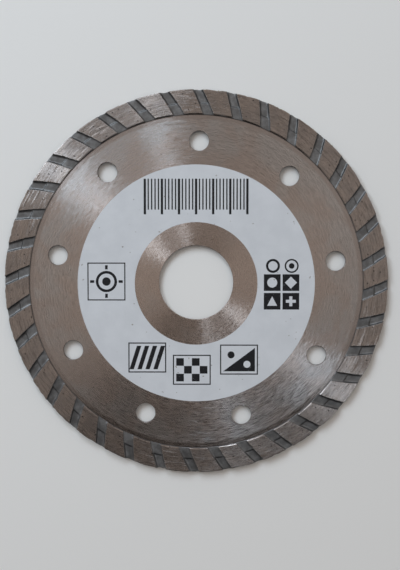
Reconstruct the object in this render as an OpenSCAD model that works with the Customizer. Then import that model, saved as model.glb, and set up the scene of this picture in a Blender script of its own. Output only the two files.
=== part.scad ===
// Turbo-rim diamond blade for a hand-held angle grinder.
// A ground steel core carries a sintered ring of metal and diamond round its edge, and has a
// printed label on each face.
// Frame: Z is the bore's axis, and the origin is on it, halfway through the core's thickness.
// The front face, with the panels and tiles printed on it, looks along +Z.

/* [Blade] */
// Diameter over the cutting edge
blade_d = 115; // [113:0.5:117]
// Diameter of the bore, which slides on the grinder's flange boss
bore_d = 22.23; // [20:0.01:25.4]
// Thickness of the steel core
core_t = 1.3; // [1.2:0.05:1.5]
// Diameter of the steel core, whose edge is inside the rim
core_d = 106; // [105:0.5:107]

/* [Vent holes] */
// Number of cooling holes
vent_count = 9; // [3:1:12]
// Diameter of a cooling hole
vent_d = 5.9; // [4:0.1:7]
// Diameter of the circle that the cooling holes lie on
vent_pcd = 84.5; // [80:0.1:88]
// Angle of the first cooling hole, from +X
vent_start = 88.8; // [0:0.1:360]

/* [Diamond rim] */
// Thickness of the rim over its lands
rim_t = 2.2; // [2:0.05:2.6]
// Height of the rim, from its foot on the core to the cutting edge
rim_h = 7.6; // [7:0.1:8]
// Number of slanted grooves on each face
groove_count = 36; // [24:1:40]
// Width of a groove at the cutting edge
groove_w_outer = 2.9; // [2:0.1:3.2]
// Width of a groove at the rim's foot
groove_w_inner = 3.3; // [2.4:0.1:3.6]
// Angle that a groove turns through between its foot and the cutting edge
groove_sweep = 3.9; // [0:0.1:5]
// Angle of the first groove's outer end, from +X
groove_start = -0.4; // [-10:0.1:10]
// Depth of a groove beyond the core's edge
groove_depth = 0.7; // [0.5:0.05:0.8]
// Thickness of the skin that a groove leaves over the core
skin_t = 0.12; // [0.1:0.01:0.2]
// Lean of the groove walls, from upright
wall_lean = 28; // [0:1:40]
// Lean of the lands' inner ends, from upright
end_lean = 38; // [0:1:50]
// Diameter of the keying notches round the core's edge, one under each land
key_d = 2.4; // [1.5:0.1:3]

/* [Diamond grit] */
// Width of a diamond crystal
grit_w = 0.35; // [0.25:0.05:0.4]
// Most that a crystal at the cutting edge stands out of the metal
grit_proud = 0.1; // [0.05:0.01:0.15]

/* [Labels] */
// Diameter of a label's inner edge
label_inner_d = 36.8; // [34:0.1:40]
// Diameter of a label's outer edge
label_outer_d = 71.1; // [70:0.1:74]
// How far the front label is printed below the centre
label_drop = 0.3; // [0:0.1:0.6]
// Thickness of the print, which is let into the core to leave the clamping faces flat
print_t = 0.05; // [0.04:0.01:0.08]
// Width of the lines that frame the printed panels
line_w = 0.35; // [0.3:0.05:0.5]

/* [Hidden] */
$fn = 96;
eps = 0.01;

bore_r = bore_d / 2;
core_r = core_d / 2;
core_z = core_t / 2;
rim_z = rim_t / 2;
edge_r = blade_d / 2 - grit_proud;
foot_r = blade_d / 2 - rim_h;

bore_chamfer = 0.15;
vent_chamfer = 0.1;
edge_chamfer = 0.15;

pitch = 360 / groove_count;
half_pitch = pitch / 2;
step_ramp = 0.5;
step_r = core_r + skin_t;
cutter_over = 1;
inner_floor = core_z + skin_t;
outer_floor = rim_z - groove_depth;

// Crystals shown on each land's face and on its cutting edge, and how they are spread
grit_lands = 2;
grit_edges = 2;
grit_gap = 3;
grit_scatter = 0.25;
crystal_r = blade_d / 2 - grit_w * sqrt(3) / 2;

// The graduated scale on the front
scale_bars = 31;
scale_every = 5;
scale_step = 1.02;
scale_top = 31.3;
scale_short = 9.2;
scale_long = 10.6;
scale_thin = 0.4;
scale_thick = 0.7;

// The front's panels, tiles and rings, by their middles, from the label's own middle
panel_w = 11.4;
panel_h = 9.1;
left_panel_at = [-26.9, 0.6];
lower_panels_at = [[-14.7, -22.3], [-1.3, -26], [12.9, -22.9]];
tile_w = 5;
tile_step = 5.6;
right_tiles_at = [22.8, 0.3];
ring_d = 4.2;
right_rings_at = [23, 5.3];

// The arrows and borders on the back
arrow_r = 26.8;
arrow_w = 2.4;
arrow_sweep = 70;
arrow_head = 5.6;
border_inset = 1.2;
border_w = 0.7;

steel = [0.55, 0.51, 0.48];
sinter = [0.45, 0.41, 0.38];
diamond = [0.75, 0.76, 0.62];
label_grey = [0.80, 0.81, 0.84];
ink = [0.06, 0.06, 0.07];

// A point at radius r and angle a, in the plane of the blade.
function polar(r, a) = [r * cos(a), r * sin(a)];

// The angle that an arc of length w covers at radius r.
function arc_angle(w, r) = w / r * 180 / PI;

// The angle of a groove's middle at radius r, from its outer end.
function groove_angle(r) = -groove_sweep * (blade_d / 2 - r) / rim_h;

// ---- Steel core ----

// The core's outline: its edge has a round notch under each land, which the sinter fills.
module core_outline() {
    difference() {
        circle(r = core_r);
        for (i = [0 : groove_count - 1])
            translate(polar(core_r, groove_start + groove_angle(core_r) + (i + 0.5) * pitch))
                circle(d = key_d);
    }
}

// A through hole whose two mouths are broken by a small chamfer.
module broken_hole(r, chamfer) {
    cylinder(r = r, h = core_t + 2, center = true);
    for (side = [0, 1])
        mirror([0, 0, side])
            translate([0, 0, core_z - chamfer])
                cylinder(r1 = r, r2 = r + chamfer + cutter_over, h = chamfer + cutter_over);
}

module core_blank() {
    translate([0, 0, -core_z])
        linear_extrude(core_t)
            core_outline();
}

// The shallow seat of a label, cut into the front face.
module label_seat(drop) {
    translate([0, -drop, core_z - print_t])
        linear_extrude(1)
            label_ring();
}

module steel_core() {
    color(steel)
        difference() {
            core_blank();
            broken_hole(bore_r, bore_chamfer);
            for (i = [0 : vent_count - 1])
                rotate(vent_start + i * 360 / vent_count)
                    translate([vent_pcd / 2, 0, 0])
                        broken_hole(vent_d / 2, vent_chamfer);
            label_seat(label_drop);
            mirror([0, 0, 1])
                label_seat(0);
        }
}

// ---- Diamond rim ----

// The whole rim with no grooves: it reaches over the core's edge on both faces.
module rim_ring() {
    slope = (rim_z - core_z) * tan(end_lean);
    rotate_extrude()
        polygon([
            [foot_r, -core_z],
            [foot_r + slope, -rim_z],
            [edge_r - edge_chamfer, -rim_z],
            [edge_r, -rim_z + edge_chamfer],
            [edge_r, rim_z - edge_chamfer],
            [edge_r - edge_chamfer, rim_z],
            [foot_r + slope, rim_z],
            [foot_r, core_z]
        ]);
}

// The space above the groove floors: shallow over the core and deeper beyond its edge.
module groove_space() {
    rotate_extrude()
        polygon([
            [foot_r - cutter_over, inner_floor],
            [step_r, inner_floor],
            [step_r + step_ramp, outer_floor],
            [edge_r + cutter_over, outer_floor],
            [edge_r + cutter_over, rim_z + cutter_over],
            [foot_r - cutter_over, rim_z + cutter_over]
        ]);
}

// One side of a groove: a bar whose leaning wall runs from the foot to the cutting edge.
// side is 1 for the anticlockwise wall and -1 for the clockwise one.
module groove_side(side) {
    inner = polar(foot_r, groove_angle(foot_r) + side * arc_angle(groove_w_inner / 2, foot_r));
    outer = polar(edge_r, groove_angle(edge_r) + side * arc_angle(groove_w_outer / 2, edge_r));
    run = outer - inner;
    bar_w = 0.7 * groove_w_outer;
    top = rim_z + cutter_over;
    bottom = outer_floor - cutter_over / 2;
    lean = tan(wall_lean);
    translate([inner.x, inner.y, 0])
        rotate(atan2(run.y, run.x))
            translate([-2 * cutter_over, 0, 0])
                rotate([90, 0, 90])
                    linear_extrude(norm(run) + 4 * cutter_over)
                        polygon([
                            [side * (top - rim_z) * lean, top],
                            [side * (bottom - rim_z) * lean, bottom],
                            [-side * bar_w, bottom],
                            [-side * bar_w, top]
                        ]);
}

// All the grooves of the front face.
module face_grooves() {
    intersection() {
        groove_space();
        for (i = [0 : groove_count - 1])
            rotate(groove_start + i * pitch) {
                groove_side(1);
                groove_side(-1);
            }
    }
}

module diamond_rim() {
    color(sinter)
        difference() {
            rim_ring();
            core_blank();
            face_grooves();
            rotate(half_pitch)
                mirror([0, 0, 1])
                    face_grooves();
            crystals();
        }
}

// ---- Diamond grit ----

// One crystal, with a corner pointing outwards along +X, spun about that direction.
module cornered_crystal(spin) {
    rotate([spin, 0, 0])
        rotate([0, atan(sqrt(2)), 0])
            rotate([45, 0, 0])
                cube(grit_w, center = true);
}

// The angle of the middle of land i at radius r: the back's lands face the front's grooves.
function land_angle(i, r, side) =
    groove_start + groove_angle(r) + (i + (side > 0 ? 0.5 : 0)) * pitch;

// An uneven but repeatable number from -1 to 1.
function scatter(i, j) = sin(137 * i + 71 * j);

// Crystals that the cutting edge exposes, each with its tip on the blade's full diameter.
module edge_crystals() {
    for (i = [0 : groove_count - 1], j = [0 : grit_edges - 1], side = [-1, 1]) {
        along = (j - (grit_edges - 1) / 2 + grit_scatter * scatter(i, j)) * grit_gap;
        z = rim_z * (0.45 + grit_scatter * scatter(j + 3, i));
        rotate(land_angle(i, blade_d / 2, side) + arc_angle(along, blade_d / 2))
            translate([crystal_r, 0, side * z])
                cornered_crystal(40 * i + 25 * j);
    }
}

// Crystals in the lands, ground flush with the face.
module land_crystals() {
    for (i = [0 : groove_count - 1], j = [0 : grit_lands - 1], side = [-1, 1]) {
        inward = (j - (grit_lands - 1) / 2 + grit_scatter * scatter(i, side)) * grit_gap;
        r = (foot_r + edge_r) / 2 - inward;
        along = grit_scatter * scatter(i + 5, j) * grit_gap * 2;
        rotate(land_angle(i, r, side) + arc_angle(along, r))
            translate([r, 0, side * (rim_z - grit_w / 2)])
                rotate(55 * i)
                    cube(grit_w, center = true);
    }
}

module crystals() {
    edge_crystals();
    land_crystals();
}

module diamond_grit() {
    color(diamond)
        crystals();
}

// ---- Labels ----

module label_ring() {
    difference() {
        circle(d = label_outer_d);
        circle(d = label_inner_d);
    }
}

// Printed shapes on the front face, flush with the label round them.
module front_print() {
    translate([0, -label_drop, core_z - print_t])
        linear_extrude(print_t)
            children();
}

// Printed shapes on the back face.
module back_print() {
    translate([0, 0, -core_z])
        linear_extrude(print_t)
            children();
}

// A thin square frame.
module frame_2d(w, h) {
    difference() {
        square([w, h], center = true);
        square([w - 2 * line_w, h - 2 * line_w], center = true);
    }
}

// A ring with a line width of its own.
module ring_2d(d, w) {
    difference() {
        circle(d = d);
        circle(d = d - 2 * w);
    }
}

// A plain graduated scale of upright bars, with long thick bars at even steps.
module bar_scale_2d() {
    for (i = [0 : scale_bars - 1]) {
        major = i % scale_every == 0;
        w = major ? scale_thick : scale_thin;
        h = major ? scale_long : scale_short;
        translate([(i - (scale_bars - 1) / 2) * scale_step - w / 2, scale_top - h])
            square([w, h]);
    }
}

// A target: a ring with a dot in it and four ticks round it.
module target_2d(d) {
    ring_2d(d, d / 8);
    circle(d = d * 0.4);
    for (turn = [0 : 90 : 270])
        rotate(turn)
            translate([d * 0.57, -d / 16])
                square([d / 5, d / 8]);
}

// Slanted stripes in a block w wide and h high.
module stripes_2d(w, h, count) {
    step = w / count;
    for (i = [0 : count - 1])
        translate([(i + 0.5) * step - w / 2, 0])
            polygon([
                [-step * 0.75, -h / 2],
                [-step * 0.2, -h / 2],
                [step * 0.75, h / 2],
                [step * 0.2, h / 2]
            ]);
}

// A chequered block of columns by rows squares, whose corners stay clear of each other.
module chequer_2d(columns, rows, step) {
    for (i = [0 : columns - 1], j = [0 : rows - 1])
        if ((i + j) % 2 == 0)
            translate([(i + 0.5 - columns / 2) * step, (j + 0.5 - rows / 2) * step])
                square(step - 0.05, center = true);
}

// A block filled below its diagonal, with a dot on each side of it.
module halves_2d(w, h, dot) {
    difference() {
        polygon([[-w / 2, -h / 2], [w / 2, -h / 2], [w / 2, h / 2]]);
        translate([w / 4, -h / 5])
            circle(d = dot);
    }
    translate([-w / 4, h / 5])
        circle(d = dot);
}

module left_panel_2d() {
    translate(left_panel_at) {
        frame_2d(panel_w, panel_w);
        target_2d(panel_w * 0.56);
    }
}

module lower_panels_2d() {
    fill_w = panel_w * 0.84;
    fill_h = panel_h * 0.78;
    for (place = lower_panels_at)
        translate(place)
            frame_2d(panel_w, panel_h);
    translate(lower_panels_at[0])
        stripes_2d(fill_w, fill_h, 4);
    translate(lower_panels_at[1])
        chequer_2d(4, 3, fill_h / 3);
    translate(lower_panels_at[2])
        halves_2d(fill_w, fill_h, fill_h * 0.3);
}

// A black tile at column i and row j, with the shape given as its child left out of it.
module tile_2d(i, j) {
    translate([right_tiles_at.x + i * tile_step, right_tiles_at.y - j * tile_step])
        difference() {
            square(tile_w, center = true);
            children();
        }
}

module right_tiles_2d() {
    hole = tile_w * 0.6;
    tile_2d(0, 0)
        circle(d = hole);
    tile_2d(1, 0)
        rotate(45)
            square(hole * 0.85, center = true);
    tile_2d(0, 1)
        polygon([[-hole / 2, -hole * 0.45], [hole / 2, -hole * 0.45], [0, hole * 0.5]]);
    tile_2d(1, 1) {
        square([hole, hole * 0.3], center = true);
        square([hole * 0.3, hole], center = true);
    }
}

module right_rings_2d() {
    translate(right_rings_at) {
        ring_2d(ring_d, ring_d / 6);
        translate([tile_step, 0]) {
            ring_2d(ring_d, ring_d / 9);
            circle(d = ring_d * 0.4);
        }
    }
}

module front_label() {
    color(label_grey)
        front_print()
            difference() {
                label_ring();
                bar_scale_2d();
                left_panel_2d();
                lower_panels_2d();
                right_tiles_2d();
                right_rings_2d();
            }
}

// A curved arrow round the bore, with its tail at angle 0.
module rotation_arrow_2d() {
    difference() {
        circle(r = arrow_r + arrow_w / 2);
        circle(r = arrow_r - arrow_w / 2);
        rotate(arrow_sweep)
            translate([-2 * arrow_r, 0])
                square(4 * arrow_r);
        mirror([0, 1])
            translate([-2 * arrow_r, 0])
                square(4 * arrow_r);
    }
    rotate(arrow_sweep)
        translate([arrow_r, 0])
            polygon([[-arrow_head / 2, -eps], [arrow_head / 2, -eps], [0, arrow_head]]);
}

module rotation_arrows_2d() {
    for (turn = [50, 230])
        rotate(turn)
            rotation_arrow_2d();
}

module border_rings_2d() {
    ring_2d(label_outer_d - 2 * border_inset, border_w);
    ring_2d(label_inner_d + 2 * border_inset + 2 * border_w, border_w);
}

module back_label() {
    color(label_grey)
        back_print()
            difference() {
                label_ring();
                rotation_arrows_2d();
                border_rings_2d();
            }
}

steel_core();
diamond_rim();
diamond_grit();
front_label();
color(ink) front_print() bar_scale_2d();  // front_bar_scale
color(ink) front_print() left_panel_2d();  // front_left_panel
color(ink) front_print() lower_panels_2d();  // front_lower_panels
color(ink) front_print() right_tiles_2d();  // front_right_tiles
color(ink) front_print() right_rings_2d();  // front_right_rings
back_label();
color(ink) back_print() rotation_arrows_2d();  // back_rotation_arrows
color(ink) back_print() border_rings_2d();  // back_border_rings
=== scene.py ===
import math
import random

import bmesh
import bpy
from mathutils import Euler, Matrix, Vector, noise


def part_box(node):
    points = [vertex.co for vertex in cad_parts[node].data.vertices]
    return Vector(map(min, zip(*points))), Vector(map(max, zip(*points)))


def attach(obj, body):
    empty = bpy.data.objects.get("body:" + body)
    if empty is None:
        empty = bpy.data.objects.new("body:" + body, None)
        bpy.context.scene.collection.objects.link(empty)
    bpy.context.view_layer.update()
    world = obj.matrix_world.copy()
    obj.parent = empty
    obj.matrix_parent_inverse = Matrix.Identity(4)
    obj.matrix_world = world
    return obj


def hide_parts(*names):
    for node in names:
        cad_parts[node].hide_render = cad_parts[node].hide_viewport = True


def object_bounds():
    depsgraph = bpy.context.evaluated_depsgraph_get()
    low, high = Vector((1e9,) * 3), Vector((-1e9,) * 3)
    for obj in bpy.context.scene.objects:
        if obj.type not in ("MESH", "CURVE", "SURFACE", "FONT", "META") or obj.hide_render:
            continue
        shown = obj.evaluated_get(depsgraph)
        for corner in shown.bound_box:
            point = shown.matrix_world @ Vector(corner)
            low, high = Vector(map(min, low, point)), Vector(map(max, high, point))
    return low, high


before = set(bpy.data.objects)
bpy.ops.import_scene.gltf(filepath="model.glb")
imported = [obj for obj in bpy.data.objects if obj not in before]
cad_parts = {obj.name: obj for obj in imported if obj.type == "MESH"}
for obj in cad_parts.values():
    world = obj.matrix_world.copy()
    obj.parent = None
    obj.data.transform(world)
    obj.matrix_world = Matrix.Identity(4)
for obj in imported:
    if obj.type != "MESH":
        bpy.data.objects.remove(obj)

MM = 0.001
TAU = 2 * math.pi

cad_low, cad_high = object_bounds()


# ---- Sizes, from the frame and the blade's own design ----

_, core_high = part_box("steel_core")
_, rim_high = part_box("diamond_rim")
CORE_R = core_high.x
CORE_Z = core_high.z
RIM_R = rim_high.x
RIM_Z = rim_high.z

RIM_H = 7.6 * MM                    # from the rim's foot to the blade's full diameter
FULL_R = max(*cad_high.xy, *-cad_low.xy)
FOOT_R = FULL_R - RIM_H
GROOVES = 36
PITCH = TAU / GROOVES
GROOVE_START = math.radians(-0.4)
GROOVE_SWEEP = math.radians(3.9)
GROOVE_W_OUTER = 2.9 * MM
GROOVE_W_INNER = 3.3 * MM
GROOVE_DEPTH = 0.7 * MM
SKIN = 0.12 * MM
STEP_RAMP = 0.5 * MM
WALL_LEAN = math.tan(math.radians(28))
END_LEAN = math.tan(math.radians(38))


# ---- Small helpers ----

def smooth_min(a, b, k):
    """The lower of a and b, with the corner between them rounded over k."""
    h = max(k - abs(a - b), 0) / k
    return min(a, b) - h * h * k / 4


def smooth_max(a, b, k):
    return -smooth_min(-a, -b, k)


def wave(point, size, seed=0):
    """Smooth noise from -1 to 1 whose lumps are about size across."""
    return noise.noise(Vector(point) / size + Vector((seed * 17.3, seed * 5.1, seed * 9.7)))


def link(obj):
    bpy.context.scene.collection.objects.link(obj)
    return obj


# ---- Node material helpers ----

class Nodes:
    """The node tree of a new material, or of the world, with short calls for the nodes used here."""

    def __init__(self, owner):
        self.material = bpy.data.materials.new(owner) if isinstance(owner, str) else owner
        self.material.use_nodes = True
        self.tree = self.material.node_tree
        self.shader = self.tree.nodes.get("Principled BSDF")

    def new(self, kind, **values):
        node = self.tree.nodes.new(kind)
        for key, value in values.items():
            setattr(node, key, value)
        return node

    def link(self, source, target):
        if hasattr(source, "is_output"):
            self.tree.links.new(source, target)
        else:
            target.default_value = source

    def math(self, operation, a, b=0.0, c=0.0):
        node = self.new("ShaderNodeMath", operation=operation)
        for socket, value in zip(node.inputs, (a, b, c)):
            self.link(value, socket)
        return node.outputs[0]

    def dot(self, a, b):
        node = self.new("ShaderNodeVectorMath", operation="DOT_PRODUCT")
        self.link(a, node.inputs[0])
        self.link(b, node.inputs[1])
        return node.outputs["Value"]

    def noise(self, vector, scale, detail=2.0, roughness=0.5, distortion=0.0):
        node = self.new("ShaderNodeTexNoise")
        self.link(vector, node.inputs["Vector"])
        node.inputs["Scale"].default_value = scale
        node.inputs["Detail"].default_value = detail
        node.inputs["Roughness"].default_value = roughness
        node.inputs["Distortion"].default_value = distortion
        return node.outputs["Fac"]

    def step(self, value, low, high, to_low=0.0, to_high=1.0):
        """value from low to high becomes to_low to to_high, smoothly and clamped."""
        node = self.new("ShaderNodeMapRange", interpolation_type="SMOOTHSTEP")
        limits = {"From Min": low, "From Max": high, "To Min": to_low, "To Max": to_high}
        for name, number in limits.items():
            node.inputs[name].default_value = number
        self.link(value, node.inputs["Value"])
        return node.outputs["Result"]

    def mix(self, factor, a, b):
        node = self.new("ShaderNodeMix", data_type="RGBA")
        self.link(factor, node.inputs["Factor"])
        self.link(rgba(a), node.inputs["A"])
        self.link(rgba(b), node.inputs["B"])
        return node.outputs["Result"]

    def bump(self, height, distance):
        node = self.new("ShaderNodeBump")
        node.inputs["Distance"].default_value = distance
        node.inputs["Strength"].default_value = 1.0
        self.link(height, node.inputs["Height"])
        return node.outputs["Normal"]

    def set(self, **values):
        """Sets or links the shader's inputs; the names have _ for a space."""
        for key, value in values.items():
            self.link(value, self.shader.inputs[key.replace("_", " ")])

    def place(self):
        """The point's own place in the frame, in metres."""
        return self.new("ShaderNodeTexCoord").outputs["Object"]

    def radius(self, point):
        """The distance of a point from the bore's axis."""
        flat = self.new("ShaderNodeVectorMath", operation="MULTIPLY")
        self.link(point, flat.inputs[0])
        flat.inputs[1].default_value = (1, 1, 0)
        length = self.new("ShaderNodeVectorMath", operation="LENGTH")
        self.link(flat.outputs[0], length.inputs[0])
        return length.outputs["Value"]

    def grind(self, point, line, arc):
        """A vector for textures that run round the bore: line is their width in metres, and arc their
        length as a share of the radius. A noise of scale 1 on it has about that size."""
        split = self.new("ShaderNodeSeparateXYZ")
        self.link(point, split.inputs[0])
        radius = self.radius(point)
        join = self.new("ShaderNodeCombineXYZ")
        for i, axis in enumerate("XY"):
            unit = self.math("DIVIDE", split.outputs[axis], self.math("ADD", radius, 1e-6))
            self.link(self.math("MULTIPLY", unit, 1 / arc), join.inputs[i])
        self.link(self.math("MULTIPLY", radius, 1 / line), join.inputs[2])
        return join.outputs[0]

    def upright(self):
        """1 where the surface stands upright, as the walls of the holes do, and 0 where it lies flat."""
        split = self.new("ShaderNodeSeparateXYZ")
        self.link(self.new("ShaderNodeNewGeometry").outputs["True Normal"], split.inputs[0])
        return self.step(self.math("ABSOLUTE", split.outputs["Z"]), 0.3, 0.6, 1.0, 0.0)

    def radial_tangent(self, stray):
        """Sets the shader's anisotropy by the direction round the bore, turned by stray of a turn."""
        node = self.new("ShaderNodeTangent", direction_type="RADIAL", axis="Z")
        self.link(node.outputs[0], self.shader.inputs["Tangent"])
        self.link(self.math("ADD", stray, ALONG_THE_CIRCLE), self.shader.inputs["Anisotropic Rotation"])


def rgba(colour):
    if hasattr(colour, "is_output"):
        return colour
    return (*colour, 1.0) if len(colour) == 3 else colour


# ---- Materials ----

MARK_LINE = 0.01 * MM               # how wide a single grinding mark is
MARK_ARC = 0.05                     # and how long, as a share of its radius
MARK_BLUR = 0.13                    # how gradually a mark goes from smooth to coarse
ALONG_THE_CIRCLE = 0.25             # of a turn, from the tangent's own direction
DULL_RING = (1.6 * MM, 0.9 * MM)    # from the rim's foot: where the dull ring starts and is full
FOOT_SHADE_RING = (0.35 * MM, 0.05 * MM)  # the same for the painted shade at the foot

def grinding(m, p, streaks, uneven, smooth, coarse, share, dashes, stray):
    """Sets the shader up as metal ground in circles round the bore. Its marks are finer than a picture's
    pixels: share of them are as rough as coarse, and the rest as smooth, more of one or the other from
    streak to streak. The highest and lowest dashes stray from their circles, by stray of a turn."""
    marks = m.noise(m.grind(p, MARK_LINE, MARK_ARC), 1, 0)
    level = m.math("ADD", marks, m.math("MULTIPLY", m.math("SUBTRACT", streaks, 0.5), uneven))
    middle = 0.5 + 0.3 * (0.5 - share)
    rough = m.step(level, middle - MARK_BLUR, middle + MARK_BLUR)
    extra = m.math("SUBTRACT", coarse, smooth)
    m.set(Metallic=1.0, Roughness=m.math("MULTIPLY_ADD", rough, extra, smooth))
    m.shader.inputs["Anisotropic"].default_value = 1.0
    out = m.step(dashes, 0.58, 0.68, 0.0, stray)
    m.radial_tangent(m.math("ADD", out, m.step(dashes, 0.32, 0.42, -stray, 0.0)))


def ground_steel():
    """The core: ground steel, with faint stains, browner towards the bore. A narrow ring by the rim's foot
    shines less, a painted shade darkens the core at the foot itself, and the walls of the holes are painted
    dark as shade."""
    m = Nodes("core_ground_steel")
    p = m.place()
    radius = m.radius(p)
    streaks = m.noise(m.grind(p, 0.3 * MM, 0.06), 1, 2, 0.6)
    dashes = m.noise(m.grind(p, 0.32 * MM, 0.06), 1, 1, 0.5)
    inward = m.step(radius, 18 * MM, 50 * MM, 1.0, 0.0)
    cloud = m.noise(p, 95, 3, 0.5, 0.4)
    stain = m.step(m.math("ADD", cloud, m.math("MULTIPLY", inward, 0.18)), 0.42, 0.66)
    rust = m.math("MULTIPLY", m.step(m.noise(p, 260, 4, 0.6), 0.6, 0.74, 0.0, 0.25), inward)
    specks = m.step(m.noise(p, 1500, 0), 0.8, 0.84, 0.0, 0.7)
    nicks = m.step(m.noise(m.grind(p, 0.2 * MM, 0.006), 1, 1, 0.5), 0.79, 0.83)
    colour = m.mix(stain, (0.425, 0.40, 0.395), (0.415, 0.362, 0.342))
    colour = m.mix(m.math("MULTIPLY", inward, 0.3), colour, (0.75, 0.58, 0.49))
    colour = m.mix(rust, colour, (0.40, 0.25, 0.18))
    colour = m.mix(m.step(streaks, 0.3, 0.7, 0.06, 0.0), colour, (0.2, 0.17, 0.16))
    colour = m.mix(specks, colour, (0.10, 0.07, 0.055))
    colour = m.mix(nicks, colour, (0.85, 0.84, 0.82))
    # painted shade: a dark band on the core just inside the rim's foot, where shade falls in the corner
    painted_foot_shade = m.step(radius, FOOT_R - FOOT_SHADE_RING[0], FOOT_R - FOOT_SHADE_RING[1], 0.0, 0.9)
    colour = m.mix(painted_foot_shade, colour, (0.07, 0.045, 0.038))
    # painted shade: the upright walls of the holes are darkened for the shade that falls inside them
    colour = m.mix(m.upright(), colour, (0.09, 0.06, 0.05))
    dull = m.step(radius, FOOT_R - DULL_RING[0], FOOT_R - DULL_RING[1])
    colour = m.mix(m.math("MULTIPLY", dull, 0.8), colour, (0.31, 0.27, 0.255))
    coarse = m.math("MULTIPLY_ADD", dull, -0.16, 0.45)
    grinding(m, p, streaks, 0.4, 0.15, coarse, 0.45, dashes, 0.02)
    height = m.math("SUBTRACT", streaks, specks)
    m.set(Base_Color=colour, Normal=m.bump(height, 0.0004 * MM))
    return m.material


def pits(m, p, spacing, size):
    """A mask of scattered round pits about size across."""
    cells = m.new("ShaderNodeTexVoronoi", voronoi_dimensions="2D")
    m.link(p, cells.inputs["Vector"])
    cells.inputs["Scale"].default_value = 1 / spacing
    chance = m.new("ShaderNodeSeparateColor")
    m.link(cells.outputs["Color"], chance.inputs[0])
    reach = m.step(chance.outputs[0], 0.45, 1.0, 0.0, 0.6 * size / spacing)
    return m.step(m.math("SUBTRACT", cells.outputs["Distance"], reach), -0.03, 0.0, 1.0, 0.0)


def ground_land():
    """The lands: sintered metal ground in circles, with scratches and pits."""
    m = Nodes("rim_ground_metal")
    p = m.place()
    streaks = m.noise(m.grind(p, 0.2 * MM, 0.03), 1, 3, 0.65)
    scratch = m.noise(m.grind(p, 0.24 * MM, 0.09), 1, 2, 0.6)
    dashes = m.noise(m.grind(p, 0.3 * MM, 0.1), 1, 1, 0.5)
    grain = m.noise(p, 2600, 2, 0.6)
    blotch = m.noise(p, 240, 4, 0.6)
    holes = pits(m, p, 1.9 * MM, 0.4 * MM)
    lines = m.step(scratch, 0.54, 0.66, 0.0, 0.75)
    colour = m.mix(m.step(blotch, 0.35, 0.65), (0.32, 0.285, 0.272), (0.37, 0.32, 0.297))
    colour = m.mix(m.step(grain, 0.3, 0.6, 0.25, 0.0), colour, (0.12, 0.11, 0.1))
    colour = m.mix(lines, colour, (0.16, 0.14, 0.13))
    colour = m.mix(holes, colour, (0.035, 0.03, 0.028))
    grinding(m, p, streaks, 1.0, 0.22, 0.36, 0.6, dashes, 0.05)
    height = m.math("SUBTRACT", streaks, m.math("MULTIPLY", m.math("ADD", lines, holes), 1.5))
    m.set(Base_Color=colour, Normal=m.bump(height, 0.008 * MM))
    return m.material


def sintered(name, dark, light, rough):
    """The rim's metal where it is as pressed or broken: matt and grainy."""
    m = Nodes(name)
    p = m.place()
    grain = m.noise(p, 2600, 3, 0.6)
    blotch = m.noise(p, 420, 4, 0.6)
    colour = m.mix(m.step(blotch, 0.35, 0.68), dark, light)
    colour = m.mix(m.step(grain, 0.35, 0.7, 0.35, 0.0), colour, (0.06, 0.055, 0.05))
    m.set(Base_Color=colour, Metallic=0.75, Normal=m.bump(grain, 0.012 * MM))
    m.set(Roughness=m.step(blotch, 0.3, 0.7, rough - 0.05, rough + 0.05))
    return m.material


def crystal():
    m = Nodes("diamond_crystal")
    p = m.place()
    tint = m.mix(m.step(m.noise(p, 300, 2), 0.4, 0.6), (0.36, 0.34, 0.24), (0.55, 0.54, 0.46))
    m.set(Base_Color=tint, Roughness=0.25, IOR=2.2, Metallic=0.0)
    m.set(Normal=m.bump(m.noise(p, 9000, 2), 0.01 * MM))
    return m.material


def label_paint():
    """The pale base coat, with faint mottling, specks and faint lines round the bore in its surface."""
    m = Nodes("label_base_coat")
    p = m.place()
    mottle = m.noise(p, 160, 5, 0.6)
    lines = m.noise(m.grind(p, 0.3 * MM, 0.3), 1, 2, 0.5)
    specks = m.step(m.noise(p, 900, 1, 0.5), 0.76, 0.785)
    colour = m.mix(m.step(mottle, 0.3, 0.7), (0.62, 0.635, 0.67), (0.67, 0.685, 0.72))
    colour = m.mix(specks, colour, (0.3, 0.28, 0.26))
    height = m.math("ADD", m.noise(p, 1800, 3, 0.6), m.math("MULTIPLY", lines, 0.8))
    m.set(Base_Color=colour, Roughness=0.48, Normal=m.bump(height, 0.006 * MM))
    return m.material


def black_ink():
    """The black print, with small starved spots where the base coat shows."""
    m = Nodes("label_black_ink")
    p = m.place()
    starved = m.step(m.noise(p, 2200, 3, 0.6), 0.66, 0.74, 0.0, 0.7)
    colour = m.mix(starved, (0.012, 0.012, 0.014), (0.3, 0.3, 0.32))
    m.set(Base_Color=colour, Roughness=0.6, Normal=m.bump(m.noise(p, 2500, 3), 0.005 * MM))
    m.set(Specular_IOR_Level=0.2)
    return m.material


def use(node, material):
    """Gives a CAD node's own object a material of ours in every slot."""
    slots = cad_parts[node].data.materials
    for i in range(len(slots)):
        slots[i] = material


# ---- The sintered rim ----

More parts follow.
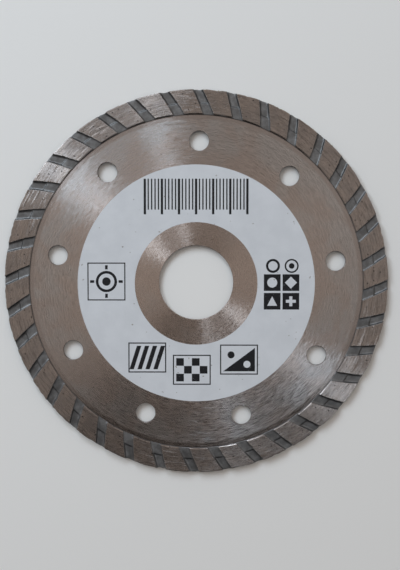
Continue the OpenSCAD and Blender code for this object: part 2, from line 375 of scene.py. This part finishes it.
FLOOR_COLUMNS = 4
WALL_COLUMNS = 4
LAND_SHARES = (0.02, 0.05, 0.1, 0.2, 0.34, 0.5, 0.67, 0.83)    # of half a land, from its edge
HALF_COLUMNS = FLOOR_COLUMNS + WALL_COLUMNS + 1 + len(LAND_SHARES)
COLUMNS = 2 * HALF_COLUMNS
EDGE_ROUND = 0.14 * MM
WALL_ROUND = 0.10 * MM
FLOOR_ROUND = 0.3 * MM
FILLET_TURNS = (0, 25, 50, 75, 90)
BAND_ROWS = 4
WEAR_REACH = 0.7 * MM               # how far in from the cutting edge the wear is felt
FOOT_SLOPE = 0.66 * MM              # how far out the finer rows at the foot go
RAMP_MARGIN = 0.1 * MM              # how far the rows of a floor's ramp pass its ends
FOOT_EDGE = 0.12 * MM               # how far up the foot the grinding stops; the darker unground metal below it also paints the shade at the foot
PRESSED, GROUND, BROKEN = 0, 1, 2                                # the rim's material slots


def spaced(start, stop, count):
    """count numbers from start up to, but without, stop."""
    return [start + (stop - start) * i / count for i in range(count)]


def face_radii():
    """The radii of a face's rows, from the rim's foot to where the edge's rounding starts."""
    foot_top = FOOT_R + FOOT_SLOPE
    ramp_start = CORE_R + SKIN - RAMP_MARGIN
    ramp_stop = CORE_R + SKIN + STEP_RAMP + RAMP_MARGIN
    last = RIM_R - EDGE_ROUND
    foot = spaced(FOOT_R, foot_top, 8)
    inner = spaced(foot_top, ramp_start, 8)
    ramp = spaced(ramp_start, ramp_stop, 6)
    outer = spaced(ramp_stop, last, 10)
    return foot + inner + ramp + outer + [last]


def groove_angle(r):
    """The angle of a groove's middle at radius r, from its outer end."""
    return -GROOVE_SWEEP * (FULL_R - r) / RIM_H


def land_height(r):
    slope = CORE_Z + (r - FOOT_R) / END_LEAN
    return smooth_min(RIM_Z, slope, 0.2 * MM)


def floor_height(r):
    t = min(max((r - CORE_R - SKIN) / STEP_RAMP, 0), 1)
    inner = CORE_Z + SKIN
    outer = RIM_Z - GROOVE_DEPTH
    floor = inner + (outer - inner) * t * t * (3 - 2 * t)
    return smooth_min(floor, CORE_Z + (r - FOOT_R) / END_LEAN, 0.05 * MM)


def cross_offset(i, r, edge, run):
    """How far column i of half a pitch is from the groove's edge, towards the land; edge is how far
    the groove's edge is from its middle, and run is the width of its leaning wall."""
    if i < FLOOR_COLUMNS:
        return -edge + (edge - run) * i / FLOOR_COLUMNS
    i -= FLOOR_COLUMNS
    if i <= WALL_COLUMNS:
        return -run * (1 - i / WALL_COLUMNS)
    i -= WALL_COLUMNS + 1
    share = LAND_SHARES[i] if i < len(LAND_SHARES) else 1
    return share * (r * PITCH / 2 - edge)


def face_point(side, pitch, column, r):
    """(angle, height, offset from the groove's edge) of a point on a face of the rim."""
    hand = 1
    if column > HALF_COLUMNS:                   # the second half mirrors the first, towards the next groove
        column = COLUMNS - column
        pitch += 1
        hand = -1
    t = (r - FOOT_R) / RIM_H
    middle = GROOVE_START + pitch * PITCH + groove_angle(r)
    key = (r, hand * 40 * MM + side * 90 * MM, (pitch % GROOVES) * 7 * MM)
    wander = 0.035 * MM * wave(key, 1.3 * MM) + 0.02 * MM * wave(key, 0.4 * MM, 1)
    chip = max(wave(key, 0.9 * MM, 2) - 0.32, 0) * 0.5 * MM
    edge = (GROOVE_W_INNER + (GROOVE_W_OUTER - GROOVE_W_INNER) * t) / 2 + wander + chip
    top = land_height(r)
    floor = floor_height(r)
    run = max((top - floor) * WALL_LEAN, 0.02 * MM)
    offset = cross_offset(column, r, edge, run)
    wall = top + offset / WALL_LEAN
    height = smooth_max(smooth_min(top, wall, WALL_ROUND), floor, FLOOR_ROUND)
    height = min(height, top)
    return middle + hand * (edge + offset) / r, height, offset


def roughen(angle, height, offset, r, side):
    """The face's own unevenness: small on a ground land, larger on pressed metal."""
    place = (r * math.cos(angle), r * math.sin(angle), side * height)
    pressed = min(max(-offset / (0.2 * MM) + 0.5, 0), 1)
    lump = wave(place, 1.1 * MM, 3) + 0.6 * wave(place, 0.45 * MM, 4)
    height += lump * (0.004 + 0.022 * pressed) * MM
    if r < FOOT_R + 0.6 * MM:
        height += 0.02 * MM * wave(place, 0.7 * MM, 5)
    return height


def edge_wear(angle, r, z):
    """How far in the cutting edge is worn and chipped."""
    reach = min(max((r - RIM_R) / WEAR_REACH + 1, 0), 1)
    place = (RIM_R * math.cos(angle), RIM_R * math.sin(angle), z)
    chip = max(wave(place, 1.0 * MM, 7), 0) * 0.3 * MM + max(wave(place, 3.1 * MM, 8), 0) * 0.25 * MM
    return reach * reach * (chip + 0.02 * MM)


def rim_column(pitch, column, radii):
    """One closed loop of points across the rim's section, and what each face row is made of."""
    points = []
    kinds = []
    faces = []
    for side in (1, -1):
        if side > 0:
            at, turn = (pitch, column), 0.0
        elif column < HALF_COLUMNS:
            at, turn = (pitch - 1, column + HALF_COLUMNS), PITCH / 2
        else:
            at, turn = (pitch, column - HALF_COLUMNS), PITCH / 2
        rows = []
        for r in radii:
            angle, height, offset = face_point(side, *at, r)
            angle += turn
            rows.append((angle, r, side * roughen(angle, height, offset, r, side), offset))
        angle, r, z, offset = rows[-1]
        for degrees in FILLET_TURNS[1:]:
            a = math.radians(degrees)
            out = r + EDGE_ROUND * math.sin(a)
            rows.append((angle, out, z - side * EDGE_ROUND * (1 - math.cos(a)), offset))
        faces.append(rows)
    front, back = faces
    band = []
    for i in range(1, BAND_ROWS + 1):
        t = i / (BAND_ROWS + 1)
        angle = front[-1][0] * (1 - t) + back[-1][0] * t
        z = front[-1][2] * (1 - t) + back[-1][2] * t
        place = (RIM_R * math.cos(angle), RIM_R * math.sin(angle), z)
        r = RIM_R + 0.035 * MM * wave(place, 0.6 * MM, 6)
        band.append((angle, r, z, 0.0))
    foot_angle = (front[0][0] + back[0][0]) / 2
    channel = [(foot_angle, CORE_R, -CORE_Z, 0.0), (foot_angle, CORE_R, CORE_Z, 0.0)]
    ring = front + band + back[::-1] + channel
    for angle, r, z, _ in ring:
        r -= edge_wear(angle, r, z)
        points.append((r * math.cos(angle), r * math.sin(angle), z))
    for angle, r, z, offset in ring:
        if r >= RIM_R - 0.5 * EDGE_ROUND:
            kinds.append(BROKEN)
        # below FOOT_EDGE the foot is unground pressed metal, whose dark colour also paints the shade at the
        # foot
        elif offset > 0 and r > FOOT_R + FOOT_EDGE:
            kinds.append(GROUND)
        else:
            kinds.append(PRESSED)
    return points, kinds


def sintered_rim():
    """The rim as one closed ring of metal, worn at its edges, that reaches over the core's edge."""
    radii = face_radii()
    loops = [rim_column(pitch, column, radii) for pitch in range(GROOVES) for column in range(COLUMNS)]
    rows = len(loops[0][0])
    verts = [point for points, _ in loops for point in points]
    quads = []
    kinds = []
    for j in range(len(loops)):
        k = (j + 1) % len(loops)
        for i in range(rows):
            n = (i + 1) % rows
            quads.append((j * rows + i, k * rows + i, k * rows + n, j * rows + n))
            kinds.append(min(loops[j][1][i], loops[k][1][i], loops[j][1][n], loops[k][1][n]))
    mesh = bpy.data.meshes.new("sintered_rim")
    mesh.from_pydata(verts, [], quads)
    mesh.materials.append(sintered("rim_pressed_metal", (0.13, 0.13, 0.133), (0.215, 0.215, 0.22), 0.42))
    mesh.materials.append(ground_land())
    mesh.materials.append(sintered("rim_broken_metal", (0.12, 0.11, 0.105), (0.26, 0.24, 0.225), 0.5))
    mesh.polygons.foreach_set("material_index", kinds)
    mesh.polygons.foreach_set("use_smooth", [True] * len(quads))
    mesh.update()
    work = bmesh.new()
    work.from_mesh(mesh)
    bmesh.ops.recalc_face_normals(work, faces=work.faces)
    work.to_mesh(mesh)
    work.free()
    rim = link(bpy.data.objects.new("sintered_rim", mesh))
    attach(rim, "root")
    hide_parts("diamond_rim")


# ---- The diamond crystals ----

def islands(mesh):
    """The middle of each separate solid of a mesh, in a fixed order."""
    work = bmesh.new()
    work.from_mesh(mesh)
    bmesh.ops.remove_doubles(work, verts=work.verts, dist=0.001 * MM)
    seen = set()
    middles = []
    for start in work.verts:
        if start.index in seen:
            continue
        seen.add(start.index)
        group = [start]
        for vert in group:
            for edge in vert.link_edges:
                other = edge.other_vert(vert)
                if other.index not in seen:
                    seen.add(other.index)
                    group.append(other)
        middles.append(sum((v.co for v in group), Vector()) / len(group))
    work.free()
    return sorted(middles, key=lambda c: (round(math.atan2(c.y, c.x), 4), c.z))


def crystal_shape(work, middle, size, rng):
    """One diamond crystal: a cube with its corners cut, a little uneven. At the cutting edge it reaches out
    to the blade's full size; in a land it is ground flush."""
    made = bmesh.ops.create_cube(work, size=size)["verts"]
    cut = bmesh.ops.bevel(
        work, geom=made, offset=size * rng.uniform(0.32, 0.42), affect="VERTICES", segments=1
    )["verts"]
    turn = Euler([rng.uniform(0, TAU) for _ in range(3)]).to_matrix()
    stretch = Vector([rng.uniform(0.85, 1.1) for _ in range(3)])
    verts = list({v for v in made if v.is_valid} | set(cut))
    for vert in verts:
        vert.co = middle + turn @ Vector(a * b for a, b in zip(vert.co, stretch))
        vert.co.z = min(max(vert.co.z, -RIM_Z), RIM_Z)
    reach = max(vert.co.xy.length for vert in verts)
    if reach > RIM_R - size / 2:
        outward = middle.xy.normalized() * (FULL_R - reach)
        for vert in verts:
            vert.co.xy += outward


def diamond_crystals():
    """The crystals at their places in the rim, as cut corners and facets in place of plain cubes."""
    rng = random.Random(7)
    work = bmesh.new()
    for middle in islands(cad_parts["diamond_grit"].data):
        crystal_shape(work, middle, rng.uniform(0.26, 0.36) * MM, rng)
    mesh = bpy.data.meshes.new("diamond_crystals")
    work.to_mesh(mesh)
    work.free()
    mesh.materials.append(crystal())
    grit = link(bpy.data.objects.new("diamond_crystals", mesh))
    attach(grit, "root")
    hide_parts("diamond_grit")


# ---- The stage: floor, world, lamps and camera ----

ROOM_COLOUR = (1.0, 0.92, 0.85, 1)
ROOM_LIGHT = 0.35
CEILING_LIGHT = 0.42                # what the patch of ceiling opposite the shade adds
CEILING_ELEVATION = 70
SHADE_AZIMUTH = 272                 # where the person stands who shades the blade
SHADE_SPREAD = 0.75                 # how fast the shade widens away from the blade
SHADE_APEX = 0.07
SHADE_SOFT = 0.08
WINDOW_COLOUR = (0.74, 0.88, 1.0)
LAMP_AWAY = 0.8
FLOOR_HALF = 1.5
CAMERA_AWAY = 0.28                  # metres from the camera to what it looks at
CAMERA_LEAN = (math.tan(math.radians(0.46)), math.tan(math.radians(2.95)), 1.0)
CAMERA_TARGET = (1.16 * MM, -0.76 * MM, 0)
CAMERA_LENS = 58.86


def make_floor():
    m = Nodes("pale_floor")
    m.set(Base_Color=(0.84, 0.825, 0.81, 1), Roughness=0.9)
    work = bmesh.new()
    bmesh.ops.create_grid(work, x_segments=1, y_segments=1, size=FLOOR_HALF)
    mesh = bpy.data.meshes.new("floor")
    work.to_mesh(mesh)
    work.free()
    mesh.materials.append(m.material)
    floor = link(bpy.data.objects.new("floor", mesh))
    floor.location.z = cad_low.z


def make_world():
    """A plain room: even warm light, a lighter patch of ceiling, and a dark wedge on the near side."""
    world = bpy.data.worlds.new("room")
    bpy.context.scene.world = world
    m = Nodes(world)
    where = m.new("ShaderNodeTexCoord").outputs["Generated"]
    away = m.dot(where, direction(SHADE_AZIMUTH, 0))
    aside = m.math("ABSOLUTE", m.dot(where, direction(SHADE_AZIMUTH + 90, 0)))
    reach = m.math("MULTIPLY", m.math("ADD", away, SHADE_APEX), SHADE_SPREAD)
    outside = m.math("SUBTRACT", aside, reach)
    ceiling = m.dot(where, direction(SHADE_AZIMUTH - 180, CEILING_ELEVATION))
    room = m.step(ceiling, 0.65, 1.0, ROOM_LIGHT, ROOM_LIGHT + CEILING_LIGHT)
    open_side = m.step(outside, -SHADE_SOFT, SHADE_SOFT)
    light = m.math("MULTIPLY", room, open_side)
    back = m.tree.nodes["Background"]
    back.inputs["Color"].default_value = ROOM_COLOUR
    m.link(light, back.inputs["Strength"])


def direction(azimuth, elevation):
    """A unit vector; azimuth is in degrees anticlockwise from +X, and elevation from the floor up."""
    a, e = math.radians(azimuth), math.radians(elevation)
    return Vector((math.cos(a) * math.cos(e), math.sin(a) * math.cos(e), math.sin(e)))


def lamp(name, azimuth, elevation, size, power):
    """An area lamp that faces the blade."""
    place = direction(azimuth, elevation)
    data = bpy.data.lights.new(name, "AREA")
    data.shape = "RECTANGLE"
    data.size, data.size_y = size
    data.energy = power
    data.color = WINDOW_COLOUR
    obj = link(bpy.data.objects.new(name, data))
    obj.location = place * LAMP_AWAY
    obj.rotation_mode = "QUATERNION"
    obj.rotation_quaternion = (-place).to_track_quat("-Z", "Y")


def make_camera():
    data = bpy.data.cameras.new("camera")
    data.sensor_width = 36
    data.lens = CAMERA_LENS
    data.clip_start = 0.01
    camera = link(bpy.data.objects.new("camera", data))
    look = -Vector(CAMERA_LEAN).normalized()
    camera.location = Vector(CAMERA_TARGET) - look * CAMERA_AWAY
    right = look.cross(Vector((0, 1, 0))).normalized()
    up = right.cross(look)
    camera.rotation_mode = "QUATERNION"
    camera.rotation_quaternion = Matrix((right, up, -look)).transposed().to_quaternion()
    bpy.context.scene.camera = camera


def make_lamps():
    lamp("left_pane", 144, 46, (0.12, 0.30), 1.4)
    lamp("right_pane", 105, 40, (0.10, 0.30), 1.15)
    lamp("wall_between", 124, 36, (0.45, 0.25), 1.2)
    lamp("room_behind", 320, 60, (0.08, 0.10), 0.2)


# ---- Everything together ----

make_floor()
make_world()
make_lamps()
make_camera()

use("steel_core", ground_steel())
paint = label_paint()
ink = black_ink()
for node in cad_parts:
    if node.endswith("_label"):
        use(node, paint)
    elif node.startswith(("front_", "back_")):
        use(node, ink)
sintered_rim()
diamond_crystals()

bpy.context.scene.view_settings.view_transform = "Standard"
